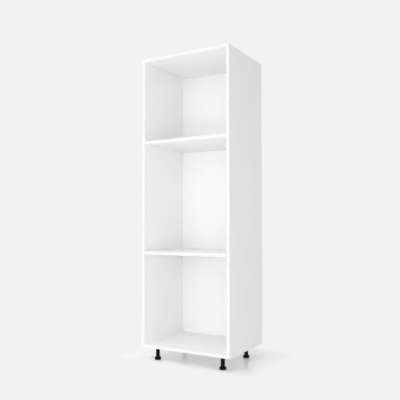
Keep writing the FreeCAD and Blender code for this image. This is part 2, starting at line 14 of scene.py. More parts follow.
import bmesh
import bpy
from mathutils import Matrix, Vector


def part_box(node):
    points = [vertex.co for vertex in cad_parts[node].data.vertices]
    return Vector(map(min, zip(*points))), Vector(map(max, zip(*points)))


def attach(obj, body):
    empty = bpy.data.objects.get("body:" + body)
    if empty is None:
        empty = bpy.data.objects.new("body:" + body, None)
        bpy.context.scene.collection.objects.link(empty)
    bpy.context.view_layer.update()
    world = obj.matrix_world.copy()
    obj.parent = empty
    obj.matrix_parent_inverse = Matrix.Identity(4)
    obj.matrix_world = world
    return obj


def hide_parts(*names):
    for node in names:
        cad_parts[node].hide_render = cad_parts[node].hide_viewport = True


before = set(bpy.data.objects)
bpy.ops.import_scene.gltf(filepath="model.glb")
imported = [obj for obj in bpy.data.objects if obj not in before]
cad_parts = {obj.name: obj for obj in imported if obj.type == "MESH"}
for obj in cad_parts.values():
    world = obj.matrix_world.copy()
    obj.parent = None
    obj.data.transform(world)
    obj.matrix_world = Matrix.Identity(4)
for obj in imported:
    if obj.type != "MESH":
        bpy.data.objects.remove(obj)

log = logging.getLogger("cabinet")

MM = 0.001

CLOSE = 1e-5  # places nearer to each other than this count as one
MERGE = 1e-6  # vertices nearer to each other than this are merged
CUT_MARGIN = 1e-7  # vertices nearer to a cutting plane than this lie on it
FACING = 0.9  # a face looks along an axis when its normal has more than this of it
PAST = 1 * MM  # how far a cutter reaches out of what it cuts
DRIVER_START = 0.3 * MM  # how far outside a head the driver's cross starts
SHARP = 40  # edges that turn by more degrees than this are rounded
BEVEL_FACES = 2  # faces across a rounded edge

# The corners of a thread's section: share of the pitch, and whether it lies at the crest
THREAD_SECTION = ((0.0, False), (0.28, True), (0.5, True), (0.78, False), (1.0, False))

# Nearly all of a noise lies between these
NOISE_LOW, NOISE_HIGH = 0.3, 0.7

Point = tuple[float, float, float]
Profile = Sequence[tuple[float, float]]


class Axis(Enum):
    """The frame's axes, as places in a vector."""

    X = 0
    Y = 1
    Z = 2


class Part(Enum):
    """What a selection in edit mode takes."""

    FACES = "FACE"
    EDGES = "EDGE"


class Effect(Enum):
    """What one solid does to another."""

    JOIN = "UNION"
    CUT = "DIFFERENCE"


# Modelling, as by hand


def clear_selection() -> None:
    """Goes back to object mode and deselects everything."""
    if bpy.context.object and bpy.context.object.mode != "OBJECT":
        bpy.ops.object.mode_set(mode="OBJECT")
    bpy.ops.object.select_all(action="DESELECT")


def choose_objects(pieces: Sequence[bpy.types.Object]) -> None:
    """Selects these objects alone and makes the first one active.

    Args:
        pieces: the objects, at least one.
    """
    clear_selection()
    for piece in pieces:
        piece.select_set(True)
    bpy.context.view_layer.objects.active = pieces[0]


def edit(piece: bpy.types.Object) -> None:
    """Selects a piece alone and opens it in edit mode."""
    choose_objects([piece])
    bpy.ops.object.mode_set(mode="EDIT")


def choose(piece: bpy.types.Object, part: Part, test: Callable[..., bool]) -> None:
    """Selects the faces or edges of the piece in edit mode that pass a test.

    Args:
        piece: the piece that is open in edit mode.
        part: what to select.
        test: takes a face or edge, and says whether it is wanted.
    """
    bpy.ops.mesh.select_mode(type=part.value)
    bpy.ops.mesh.select_all(action="DESELECT")
    shape = bmesh.from_edit_mesh(piece.data)
    for item in shape.faces if part is Part.FACES else shape.edges:
        if test(item):
            item.select_set(True)
    shape.select_flush_mode()
    bmesh.update_edit_mesh(piece.data)


def name_piece(piece: bpy.types.Object, name: str) -> bpy.types.Object:
    """Names an object and its mesh.

    Args:
        piece: the object.
        name: the name of both.

    Returns:
        The object.
    """
    piece.name = name
    piece.data.name = name
    return piece


def settle(piece: bpy.types.Object, place: Point, turn: Point = (0, 0, 0)) -> None:
    """Turns a piece and sets it at a place, both in its mesh, so its object stays at the origin.

    Args:
        piece: the piece.
        place: where its origin goes.
        turn: degrees about X, Y and Z.
    """
    choose_objects([piece])
    piece.location = place
    piece.rotation_euler = [math.radians(part) for part in turn]
    bpy.ops.object.transform_apply(location=True, rotation=True, scale=True)


def turned(name: str, profile: Profile, sides: int) -> bpy.types.Object:
    """Turns a closed piece about Z by extruding a disc from ring to ring.

    Args:
        name: the piece's name.
        profile: radius and height of each ring, from the first cap to the last.
        sides: how many sides a ring has.

    Returns:
        The piece, open in edit mode.
    """
    clear_selection()
    radius, height = profile[0]
    bpy.ops.mesh.primitive_circle_add(
        vertices=sides, radius=radius, fill_type="NGON", location=(0, 0, height))
    piece = name_piece(bpy.context.object, name)
    bpy.ops.object.transform_apply(location=True, rotation=True, scale=True)
    bpy.ops.object.mode_set(mode="EDIT")
    bpy.ops.mesh.select_all(action="SELECT")
    for next_radius, next_height in profile[1:]:
        share = next_radius / radius
        bpy.ops.mesh.extrude_region_move(
            TRANSFORM_OT_translate={"value": (0, 0, next_height - height)})
        bpy.ops.transform.resize(value=(share, share, 1), center_override=(0, 0, next_height))
        radius, height = next_radius, next_height
    bpy.ops.mesh.select_all(action="SELECT")
    bpy.ops.mesh.normals_make_consistent(inside=False)
    return piece


def arc(centre: tuple[float, float], radius: float, start: float, end: float,
        steps: int) -> list[tuple[float, float]]:
    """Returns the points of an arc in a profile.

    Args:
        centre: its radius and height from the piece's axis and origin.
        radius: the arc's own radius.
        start: the first angle, in degrees from outwards to up.
        end: the last angle.
        steps: how many straight steps it has.

    Returns:
        Points of radius and height, from start to end.
    """
    points = []
    for step in range(steps + 1):
        angle = math.radians(start + (end - start) * step / steps)
        points.append((centre[0] + radius * math.cos(angle), centre[1] + radius * math.sin(angle)))
    return points


def block(name: str, low: Point, high: Point) -> bpy.types.Object:
    """Adds a block between two corners.

    Args:
        name: the block's name.
        low: its lowest corner.
        high: its highest corner.

    Returns:
        The block, open in edit mode.
    """
    clear_selection()
    middle = [(a + b) / 2 for a, b in zip(low, high)]
    bpy.ops.mesh.primitive_cube_add(size=1, location=middle)
    piece = name_piece(bpy.context.object, name)
    piece.scale = [b - a for a, b in zip(low, high)]
    bpy.ops.object.transform_apply(location=True, rotation=True, scale=True)
    bpy.ops.object.mode_set(mode="EDIT")
    return piece


def cut_away(piece: bpy.types.Object, point: Point, normal: Point) -> None:
    """Cuts off what lies beyond a plane and closes the cut.

    Args:
        piece: the solid, which stays open in edit mode.
        point: a point on the plane.
        normal: the way to the part that is cut off.
    """
    edit(piece)
    bpy.ops.mesh.select_all(action="SELECT")
    bpy.ops.mesh.bisect(
        plane_co=point, plane_no=normal, use_fill=True, clear_outer=True, threshold=CUT_MARGIN)
    bpy.ops.mesh.select_all(action="DESELECT")


def combine(piece: bpy.types.Object, other: bpy.types.Object, effect: Effect) -> None:
    """Joins another solid to a piece, or cuts it out, with a boolean that is applied.

    Args:
        piece: the solid that stays.
        other: the solid that is used up.
        effect: whether it is joined or cut out.
    """
    choose_objects([piece])
    modifier = piece.modifiers.new("combine", "BOOLEAN")
    modifier.operation = effect.value
    modifier.solver = "EXACT"
    modifier.object = other
    bpy.ops.object.modifier_apply(modifier=modifier.name)
    bpy.data.objects.remove(other)


def soften(piece: bpy.types.Object, width: float) -> None:
    """Rounds a piece's sharp edges with a bevel that is applied.

    Args:
        piece: the solid.
        width: the bevel's width.
    """
    choose_objects([piece])
    modifier = piece.modifiers.new("soften", "BEVEL")
    modifier.width = width
    modifier.segments = BEVEL_FACES
    modifier.limit_method = "ANGLE"
    modifier.angle_limit = math.radians(SHARP)
    modifier.harden_normals = False
    bpy.ops.object.modifier_apply(modifier=modifier.name)


def clean(piece: bpy.types.Object) -> None:
    """Merges a solid's doubles and turns its faces outwards.

    Args:
        piece: the solid, which stays open in edit mode.
    """
    edit(piece)
    bpy.ops.mesh.select_all(action="SELECT")
    bpy.ops.mesh.remove_doubles(threshold=MERGE)
    bpy.ops.mesh.normals_make_consistent(inside=False)


def finish_mesh(piece: bpy.types.Object, angle: float = 35) -> bpy.types.Object:
    """Cleans a solid and shades what is round smooth.

    Args:
        piece: the solid.
        angle: the most that two faces may turn and still look like one, in degrees.

    Returns:
        The piece, in object mode.
    """
    clean(piece)
    choose_objects([piece])
    bpy.ops.object.shade_smooth_by_angle(angle=math.radians(angle))
    return piece


def copies(model: bpy.types.Object, name: str,
           spots: Sequence[tuple[Point, Point]]) -> bpy.types.Object:
    """Sets a copy of a model at each spot and joins the copies into one object at the origin.

    Args:
        model: the model, which stays as it is.
        name: the joined object's name.
        spots: place and turn of each copy, the turn in degrees about X, Y and Z.

    Returns:
        The joined object.
    """
    clear_selection()
    placed = []
    for place, turn in spots:
        piece = model.copy()
        piece.data = model.data.copy()
        bpy.context.scene.collection.objects.link(piece)
        settle(piece, place, turn)
        placed.append(piece)
    choose_objects(placed)
    if len(placed) > 1:
        bpy.ops.object.join()
    return name_piece(bpy.context.object, name)


def threaded_rod(name: str, root: float, crest: float, pitch: float, low: float, high: float,
                 steps: int) -> bpy.types.Object:
    """Winds a right-handed thread about Z and cuts it square at both ends.

    Args:
        name: the rod's name.
        root: radius at the thread's root.
        crest: radius at its crest.
        pitch: from one turn to the next.
        low: height of the lower end.
        high: height of the upper end.
        steps: straight steps in a turn.

    Returns:
        The closed rod.
    """
    clear_selection()
    corners = len(THREAD_SECTION)
    bpy.ops.mesh.primitive_circle_add(vertices=corners, radius=root)
    rod = name_piece(bpy.context.object, name)
    bpy.ops.object.mode_set(mode="EDIT")
    choose(rod, Part.EDGES, lambda edge: {v.index for v in edge.verts} == {0, corners - 1})
    bpy.ops.mesh.delete(type="EDGE")
    choose_objects([rod])
    for vertex, (share, at_crest) in zip(rod.data.vertices, THREAD_SECTION):
        vertex.co = (crest if at_crest else root, 0, low + (share - 1) * pitch)
    wind = rod.modifiers.new("wind", "SCREW")
    wind.axis = "Z"
    wind.angle = math.tau
    wind.screw_offset = pitch
    # The first turn and the last lie beyond the ends, where the cuts take them off
    wind.iterations = math.ceil((high - low) / pitch) + 2
    wind.steps = steps
    wind.render_steps = steps
    wind.use_merge_vertices = True
    wind.merge_threshold = MERGE
    bpy.ops.object.modifier_apply(modifier=wind.name)
    clean(rod)
    cut_away(rod, (0, 0, low), (0, 0, -1))
    cut_away(rod, (0, 0, high), (0, 0, 1))
    return finish_mesh(rod)


# Materials


def linear(code: str) -> tuple[float, float, float, float]:
    """Turns an sRGB hex code into the linear colour that a shader takes.

    Args:
        code: six hex digits.

    Returns:
        Red, green, blue and alpha.
    """
    levels = [int(code[start:start + 2], 16) / 255 for start in (0, 2, 4)]
    red, green, blue = (
        level / 12.92 if level <= 0.04045 else ((level + 0.055) / 1.055) ** 2.4
        for level in levels
    )
    return red, green, blue, 1.0


def find_socket(sockets: Iterable[bpy.types.NodeSocket], name: str) -> bpy.types.NodeSocket:
    """Finds a socket by its identifier or else its name.

    Args:
        sockets: a node's inputs or outputs.
        name: the identifier or name.

    Returns:
        The socket.
    """
    sockets = list(sockets)
    for wanted in ("identifier", "name"):
        for socket in sockets:
            if getattr(socket, wanted) == name:
                return socket
    raise KeyError(name)


def out(node: bpy.types.Node, name: str) -> bpy.types.NodeSocket:
    """Returns an output of a node, by its identifier or name."""
    return find_socket(node.outputs, name)


def add_node(tree: bpy.types.NodeTree, kind: str, inputs: dict[str, object] | None = None,
             **settings: object) -> bpy.types.Node:
    """Adds a node with its settings, values and links.

    Args:
        tree: the material's or world's node tree.
        kind: the node's type, without its first word.
        inputs: for each socket, a value, or the output that feeds it.
        settings: the node's own properties.

    Returns:
        The node.
    """
    node = tree.nodes.new("ShaderNode" + kind)
    for name, value in settings.items():
        setattr(node, name, value)
    for name, value in (inputs or {}).items():
        socket = find_socket(node.inputs, name)
        if isinstance(value, bpy.types.NodeSocket):
            tree.links.new(value, socket)
        else:
            socket.default_value = value
    return node


def sized(tree: bpy.types.NodeTree, sizes: Sequence[float]) -> dict[str, object]:
    """Lays a texture on the piece's own coordinates, with features of a real size.

    Args:
        tree: the material's node tree.
        sizes: the features' sizes in mm along X, Y and Z.

    Returns:
        The texture node's inputs for it.
    """
    places = add_node(tree, "Mapping", {
        "Vector": out(add_node(tree, "TexCoord"), "Object"),
        "Scale": [1 / (size * MM) for size in sizes]})
    return {"Vector": out(places, "Vector"), "Scale": 1.0}


@dataclass(frozen=True)
class Finish:
    """A finish: plain values for the shader, some of which a pattern may take over."""

    name: str
    colour: str
    roughness: float = 0.5
    metallic: float = 0.0
    specular: float = 0.5
    ior: float = 1.5

    def patterns(self, tree: bpy.types.NodeTree) -> dict[str, object]:
        """Returns what feeds the shader in place of plain values, which is nothing here."""
        return {}

    def surface(self, tree: bpy.types.NodeTree, shader: bpy.types.Node) -> bpy.types.NodeSocket:
        """Returns what the material shows, which is the shader alone here."""
        return out(shader, "BSDF")

    def material(self) -> bpy.types.Material:
        """Makes the material.

        Returns:
            The material.
        """
        material = bpy.data.materials.new(self.name)
        material.use_nodes = True
        tree = material.node_tree
        tree.nodes.clear()
        plain = {"Base Color": linear(self.colour), "Roughness": self.roughness,
                 "Metallic": self.metallic, "Specular IOR Level": self.specular, "IOR": self.ior}
        shader = add_node(tree, "BsdfPrincipled", plain | self.patterns(tree))
        add_node(tree, "OutputMaterial", {"Surface": self.surface(tree, shader)})
        return material


@dataclass(frozen=True)
class FacedBoard(Finish):
    """Melamine paper pressed on chipboard, with the chips bare at the sawn edges.

    The press plate leaves the paper satin, with a fine pearl that only breaks up highlights.
    The sawn edges are flat, rough and light brown, with darker chips that lie along the board.
    """

    thin: Axis = Axis.Z
    second_colour: str = "F9F9F9"
    play: float = 0.03
    face_limit: float = 0.7
    cloud: float = 260
    haze: float = 45
    pearl: float = 1.1
    pearl_depth: float = 0.006
    chip_length: float = 3.2
    chip_height: float = 0.9
    chip_depth: float = 0.08
    dust: float = 0.8
    dust_colour: str = "C4A276"
    sawn_roughness: float = 0.9
    sawn: tuple[tuple[float, str], ...] = (
        (0.0, "A9865C"), (0.3, "C09C6F"), (0.7, "D0B186"), (1.0, "E0C9A3"))

    def patterns(self, tree: bpy.types.NodeTree) -> dict[str, object]:
        """Makes the faces white and the sawn edges chipped, told apart by where they face.

        Args:
            tree: the material's node tree.

        Returns:
            What feeds the shader's colour, roughness and normal.
        """
        facing = add_node(tree, "SeparateXYZ", {
            "Vector": out(add_node(tree, "TexCoord"), "Normal")})
        level = add_node(tree, "Math", {"Value": out(facing, self.thin.name)}, operation="ABSOLUTE")
        face = out(add_node(tree, "Math", {
            "Value": out(level, "Value"), "Value_001": self.face_limit},
            operation="GREATER_THAN"), "Value")

        cloud = add_node(tree, "TexNoise", sized(tree, (self.cloud,) * 3) | {"Detail": 1})
        white = add_node(tree, "Mix", {
            "Factor_Float": out(cloud, "Fac"), "A_Color": linear(self.colour),
            "B_Color": linear(self.second_colour)}, data_type="RGBA")
        haze = add_node(tree, "TexNoise", sized(tree, (self.haze,) * 3))
        gloss = add_node(tree, "MapRange", {
            "Value": out(haze, "Fac"), "From Min": NOISE_LOW, "From Max": NOISE_HIGH,
            "To Min": self.roughness - self.play, "To Max": self.roughness + self.play})
        pearl = add_node(tree, "TexNoise", sized(tree, (self.pearl,) * 3))
        swell = add_node(tree, "Math", {
            "Value": out(pearl, "Fac"), "Value_001": self.pearl_depth}, operation="MULTIPLY")

        sizes = [self.chip_length] * 3
        sizes[self.thin.value] = self.chip_height
        chips = add_node(tree, "TexVoronoi", sized(tree, sizes))
        tone = add_node(tree, "SeparateColor", {"Color": out(chips, "Color")})
        brown = add_node(tree, "ValToRGB", {"Fac": out(tone, "Red")})
        for place, _ in self.sawn[1:-1]:
            brown.color_ramp.elements.new(place)
        for stop, (place, code) in zip(brown.color_ramp.elements, self.sawn):
            stop.position, stop.color = place, linear(code)
        dust = add_node(tree, "TexNoise", sized(tree, (self.dust,) * 3))
        wood = add_node(tree, "Mix", {
            "Factor_Float": out(dust, "Fac"), "A_Color": out(brown, "Color"),
            "B_Color": linear(self.dust_colour)}, data_type="RGBA")
        pits = add_node(tree, "Math", {
            "Value": out(tone, "Green"), "Value_001": self.chip_depth}, operation="MULTIPLY")

        colour = add_node(tree, "Mix", {
            "Factor_Float": face, "A_Color": out(wood, "Result_Color"),
            "B_Color": out(white, "Result_Color")}, data_type="RGBA")
        rough = add_node(tree, "Mix", {
            "Factor_Float": face, "A_Float": self.sawn_roughness, "B_Float": out(gloss, "Result")})
        relief = add_node(tree, "Mix", {
            "Factor_Float": face, "A_Float": out(pits, "Value"), "B_Float": out(swell, "Value")})
        bump = add_node(tree, "Bump", {"Height": out(relief, "Result_Float"), "Distance": MM})
        return {"Base Color": out(colour, "Result_Color"),
                "Roughness": out(rough, "Result_Float"), "Normal": out(bump, "Normal")}


@dataclass(frozen=True)
class VariedFinish(Finish):
    """A finish whose colour and roughness wander a little with one pattern, over a relief."""

    second_colour: str = "FFFFFF"
    play: float = 0.06

    def varied(self, tree: bpy.types.NodeTree, share: bpy.types.NodeSocket,
               height: bpy.types.NodeSocket, depth: float) -> dict[str, object]:
        """Lets the second colour and the play in roughness follow a pattern.

        Args:
            tree: the material's node tree.
            share: the pattern, from 0 to 1.
            height: the relief, from 0 to 1.
            depth: the relief's depth in mm.

        Returns:
            What feeds the shader's colour, roughness and normal.
        """
        colour = add_node(tree, "Mix", {
            "Factor_Float": share, "A_Color": linear(self.colour),
            "B_Color": linear(self.second_colour)}, data_type="RGBA")
        rough = add_node(tree, "MapRange", {
            "Value": share, "From Min": NOISE_LOW, "From Max": NOISE_HIGH,
            "To Min": self.roughness - self.play, "To Max": self.roughness + self.play})
        bump = add_node(tree, "Bump", {"Height": height, "Distance": depth * MM})
        return {"Base Color": out(colour, "Result_Color"), "Roughness": out(rough, "Result"),
                "Normal": out(bump, "Normal")}


@dataclass(frozen=True)
class EdgeBand(VariedFinish):
    """Extruded ABS band, ironed on and scraped flush.

    It is a shade greyer than the paper and has faint draw lines along its length, which are
    drawn wider than real ones so that they show.
    """

    along: Axis = Axis.Z
    second_colour: str = "E8E8E8"
    play: float = 0.04
    draw_length: float = 90
    draw_width: float = 0.9
    draw_depth: float = 0.004

    def patterns(self, tree: bpy.types.NodeTree) -> dict[str, object]:
        """Draws the lines along the band.

        Args:
            tree: the material's node tree.

        Returns:
            What feeds the shader's colour, roughness and normal.
        """
        sizes = [self.draw_width] * 3
        sizes[self.along.value] = self.draw_length
        lines = out(add_node(tree, "TexNoise", sized(tree, sizes) | {"Detail": 3}), "Fac")
        return self.varied(tree, lines, lines, self.draw_depth)


@dataclass(frozen=True)
class GrainedFinish(VariedFinish):
    """A finish with soft patches over a grain, drawn coarser than a real one so that it shows."""

    patch: float = 5
    patch_detail: float = 2
    grain: float = 0.35
    grain_depth: float = 0.01

    def patterns(self, tree: bpy.types.NodeTree) -> dict[str, object]:
        """Lays the patches and the grain.

        Args:
            tree: the material's node tree.

        Returns:
            What feeds the shader's colour, roughness and normal.
        """
        patch = add_node(tree, "TexNoise", sized(tree, (self.patch,) * 3) | {
            "Detail": self.patch_detail})
        grain = add_node(tree, "TexNoise", sized(tree, (self.grain,) * 3))
        return self.varied(tree, out(patch, "Fac"), out(grain, "Fac"), self.grain_depth)


@dataclass(frozen=True)
class Moulded(GrainedFinish):
    """Injection-moulded plastic, with faint flow marks and the texture of a spark-eroded mould.

    The texture dulls the gloss evenly.
    """

    patch: float = 14
    patch_detail: float = 1
    grain: float = 0.7
    grain_depth: float = 0.015


@dataclass(frozen=True)
class Zinc(GrainedFinish):
    """Zinc as a die casting or as bright plating on steel.

    A casting is grey with a dull grain. Plating is brighter and shifts from cool to warm.
    """

    second_colour: str = "BDBFC1"
    play: float = 0.07


@dataclass(frozen=True)
class Beech(Finish):
    """Beech of a fluted dowel, with short dark flecks along the grain. No flutes are drawn."""

    second_colour: str = "B58A5E"
    fleck_colour: str = "8C6239"
    grain_length: float = 14
    grain_width: float = 0.7
    fleck_length: float = 2.2
    fleck_width: float = 0.25
    fleck_limit: float = 0.66
    grain_depth: float = 0.03

    def patterns(self, tree: bpy.types.NodeTree) -> dict[str, object]:
        """Lays the grain and the flecks along X, as the dowels lie.

        Args:
            tree: the material's node tree.

        Returns:
            What feeds the shader's colour and normal.
        """
        grain = out(add_node(tree, "TexNoise", sized(
            tree, (self.grain_length, self.grain_width, self.grain_width)) | {"Detail": 4}), "Fac")
        flecks = add_node(tree, "TexNoise", sized(
            tree, (self.fleck_length, self.fleck_width, self.fleck_width)))
        dark = add_node(tree, "Math", {
            "Value": out(flecks, "Fac"), "Value_001": self.fleck_limit}, operation="GREATER_THAN")
        wood = add_node(tree, "Mix", {
            "Factor_Float": grain, "A_Color": linear(self.colour),
            "B_Color": linear(self.second_colour)}, data_type="RGBA")
        colour = add_node(tree, "Mix", {
            "Factor_Float": out(dark, "Value"), "A_Color": out(wood, "Result_Color"),
            "B_Color": linear(self.fleck_colour)}, data_type="RGBA")
        bump = add_node(tree, "Bump", {"Height": grain, "Distance": self.grain_depth * MM})
        return {"Base Color": out(colour, "Result_Color"), "Normal": out(bump, "Normal")}


# Finishes of this cabinet. White is drawn neutral, as the photograph shows it.
BOARD = FacedBoard("white_melamine_chipboard", "FBFBFB", roughness=0.4)
BACK_BOARD = replace(BOARD, name="white_melamine_thin_chipboard", thin=Axis.Y, chip_length=3,
                     chip_height=0.8)
BAND = EdgeBand("white_abs_edge_band", "E6E6E6", roughness=0.45, specular=0.3)
WHITE_PLASTIC = Moulded("white_moulded_abs", "EFEFEE", roughness=0.36, second_colour="F3F3F2")
BLACK_PLASTIC = Moulded("black_moulded_polypropylene", "060607", roughness=0.4, specular=0.12,
                        second_colour="0A0A0B")
GLIDE_PLASTIC = Moulded("matt_black_polyethylene", "0D0D0E", roughness=0.65, specular=0.12,
                        second_colour="131314", grain=1.1)
CAST_ZINC = Zinc("die_cast_zinc", "C3C4C5", roughness=0.42, metallic=1.0)
ZINC_PLATE = Zinc("zinc_plated_steel", "C8CED6", roughness=0.27, metallic=1.0,
                  second_colour="D5D2C8", patch=3, grain_depth=0.003)
DOWEL_BEECH = Beech("fluted_beech", "D2AC80", roughness=0.62)


def dress(node: str, material: bpy.types.Material) -> None:
    """Gives a CAD node its material in every slot.

    Args:
        node: the node's name.
        material: the material.
    """
    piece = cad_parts[node]
    if not piece.material_slots:
        piece.data.materials.append(material)
    for place in piece.material_slots:
        place.material = material
    log.info("dressed %s in %s", node, material.name)


def stand_in(piece: bpy.types.Object, node: str, body: str,
             material: bpy.types.Material) -> None:
    """Finishes a new piece, puts it in place of a CAD node and hangs it on its body.

    Args:
        piece: the new piece.
        node: the CAD node it stands for.
        body: the body it moves with.
        material: its material.
    """
    piece.data.materials.clear()
    piece.data.materials.append(material)
    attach(piece, body)
    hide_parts(node)
    log.info("modelled %s for %s, %d faces", piece.name, node, len(piece.data.polygons))


# Sub-assemblies


@dataclass
class Carcass:
    """The boards, their edge bands and the back panel, which keep their CAD shapes."""

    uprights: tuple[str, ...] = ("side_panel_left", "side_panel_right")
    levels: tuple[str, ...] = ("top_panel", "bottom_panel", "lower_shelf", "upper_shelf")

    def build(self) -> None:
        """Dresses every board, band and the back panel."""
        lying = replace(BAND, name=BAND.name + "_lying", along=Axis.X)
        for names, suffix, thin, band in ((self.uprights, "_upright", Axis.X, BAND),
                                          (self.levels, "_level", Axis.Z, lying)):
            board = replace(BOARD, name=BOARD.name + suffix, thin=thin).material()
            edge = band.material()
            for name in names:
                dress(name, board)
                dress(name + "_edge_band", edge)
        dress("back_panel", BACK_BOARD.material())


@dataclass
class ShelfSupports:
    """White plastic supports, each a bracket with a grooved peg in the side panel."""

    reach: float = 9 * MM
    width: float = 9 * MM
    drop: float = 8 * MM
    lip: float = 2.5 * MM
    rounding: float = 0.45 * MM
    web: float = 1.4 * MM
    web_room: float = 1.6 * MM
    peg_radius: float = 2.5 * MM
    peg_length: float = 8.5 * MM
    peg_drop: float = 4 * MM
    peg_tip: float = 1.2 * MM
    peg_taper: float = 0.7 * MM
    peg_sides: int = 32
    groove_start: float = 2 * MM
    groove_end: float = 3.4 * MM
    groove_slope: float = 0.3 * MM
    groove_depth: float = 0.25 * MM

    def bracket(self) -> bpy.types.Object:
        """Models one support that looks along +X, with the shelf's underside at zero.

        Returns:
            The support.
        """
        half = self.width / 2
        piece = block("bracket", (0, -half, -self.drop), (self.reach, half, 0))
        slant = (self.drop - self.lip, 0, self.lip - self.reach)
        cut_away(piece, (self.reach, 0, -self.lip), slant)
        soften(piece, self.rounding)
        for side in (-1, 1):
            near, far = sorted((side * self.web / 2, side * (half - self.web)))
            pocket = block("pocket", (2 * self.lip, near, -self.drop),
                           (self.reach - self.web, far, -self.web_room))
            combine(piece, pocket, Effect.CUT)
        in_groove = self.peg_radius - self.groove_depth
        peg = turned("peg", [
            (self.peg_radius - self.peg_taper, -self.peg_length),
            (self.peg_radius, self.peg_tip - self.peg_length),
            (self.peg_radius, -self.groove_end),
            (in_groove, self.groove_slope - self.groove_end),
            (in_groove, -self.groove_slope - self.groove_start),
            (self.peg_radius, -self.groove_start),
            (self.peg_radius, self.lip / 2),
        ], self.peg_sides)
        settle(peg, (0, 0, -self.peg_drop), (0, 90, 0))
        combine(piece, peg, Effect.JOIN)
        return finish_mesh(piece)

    def build(self) -> None:
        """Sets four supports under each shelf."""
        material = WHITE_PLASTIC.material()
        model = self.bracket()
        for shelf in ("lower_shelf", "upper_shelf"):
            low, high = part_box(shelf + "_supports")
            face = high.x - self.peg_length
            spots = []
            for y in (low.y + self.width / 2, high.y - self.width / 2):
                spots.append(((-face, y, high.z), (0, 0, 0)))
                spots.append(((face, y, high.z), (0, 0, 180)))
            piece = copies(model, shelf + "_support_set", spots)
            stand_in(piece, shelf + "_supports", "carcass", material)
        bpy.data.objects.remove(model)


def driver_cross(arm: float, half: float, depth: float, taper: float) -> bpy.types.Object:
    """Models the tip of a cross-point driver, to cut its recess into a head that faces down.

    Args:
        arm: from the middle to the end of an arm.
        half: half an arm's thickness.
        depth: how deep the recess is.
        taper: the size at the bottom, as a share of the size at the face.

    Returns:
        The tip, from just below the face up to its point.
    """
    tool = block("driver", (-half, -half, -DRIVER_START), (half, half, depth))
    for axis in (0, 1):
        for sign in (-1, 1):
            choose(tool, Part.FACES, lambda face: face.normal[axis] * sign > FACING
                   and abs(face.calc_center_median()[1 - axis]) < CLOSE)
            move = [0.0, 0.0, 0.0]
            move[axis] = sign * (arm - half)
            bpy.ops.mesh.extrude_region_move(TRANSFORM_OT_translate={"value": move})
    choose(tool, Part.FACES, lambda face: face.normal.z > FACING)
    bpy.ops.transform.resize(value=(taper, taper, 1), center_override=(0, 0, depth))
    bpy.ops.mesh.select_all(action="SELECT")
    bpy.ops.mesh.normals_make_consistent(inside=False)
    return tool


@dataclass
class CrossScrew:
    """A countersunk screw with a driver's cross in its head and a coarse thread.

    From the rim to the cross's taper its sizes are shares of the head's radius, of the rim or
    of the cross, and after that shares of the shank's radius or of the core.
    """

    shank: float
    head: float
    length: float
    pitch: float
    sides: int = 32
    rim: float = 0.12
    rim_edge: float = 0.4
    cross_arm: float = 0.58
    cross_half: float = 0.15
    cross_depth: float = 0.62
    cross_taper: float = 0.45
    core: float = 0.72
    step: float = 0.4
    point: float = 2.2
    point_end: float = 0.06
    thread_root: float = 0.9
    thread_lead: float = 0.2
    thread_steps: int = 16

    def model(self) -> bpy.types.Object:
        """Models the screw pointing up, with the face of its head at zero.

        Returns:
            The screw.
        """
        rim = self.rim * self.head
        neck = self.head - self.shank
        core = self.core * self.shank
        plain_end = neck + self.shank
        thread_end = self.length - self.point * self.shank
        screw = turned("screw", [
            (self.head - rim, 0.0),
            (self.head, self.rim_edge * rim),
            (self.head, rim),
            (self.shank, neck),
            (self.shank, plain_end),
            (core, plain_end + self.step * self.shank),
            (core, thread_end),
            (self.point_end * self.shank, self.length),
        ], self.sides)
        thread = threaded_rod("thread", self.thread_root * core, self.shank, self.pitch,
                              plain_end + self.thread_lead * self.shank, thread_end,
                              self.thread_steps)
        combine(screw, thread, Effect.JOIN)
        driver = driver_cross(self.cross_arm * self.head, self.cross_half * self.head,
                              self.cross_depth * self.head, self.cross_taper)
        combine(screw, driver, Effect.CUT)
        return finish_mesh(screw)


@dataclass
class BackFixings:
    """The countersunk screws that hold the back panel in its rebate."""

    rows: int = 7
    margin: float = 60 * MM
    spacing: float = 200 * MM
    head: float = 3.5 * MM
    shank: float = 1.75 * MM
    length: float = 25 * MM
    pitch: float = 1.8 * MM
    twist: float = 11

    def build(self) -> None:
        """Drives a screw at each of the CAD's own places, each turned on by the twist."""
        low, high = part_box("back_panel_screws")
        side_low, side_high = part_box("side_panel_left")
        screw = CrossScrew(self.shank, self.head, self.length, self.pitch).model()
        across = high.x - self.head
        reach = side_high.z - side_low.z - 2 * self.margin
        places = []
        for row in range(self.rows):
            height = side_low.z + self.margin + reach * row / (self.rows - 1)
            places += [(x, high.y, height) for x in (-across, across)]
        for height in (low.z + self.head, high.z - self.head):
            places += [(x, high.y, height) for x in (-self.spacing / 2, self.spacing / 2)]
        spots = [(place, (90, self.twist * number, 0)) for number, place in enumerate(places)]
        piece = copies(screw, "back_cross_screws", spots)
        bpy.data.objects.remove(screw)
        stand_in(piece, "back_panel_screws", "carcass", ZINC_PLATE.material())


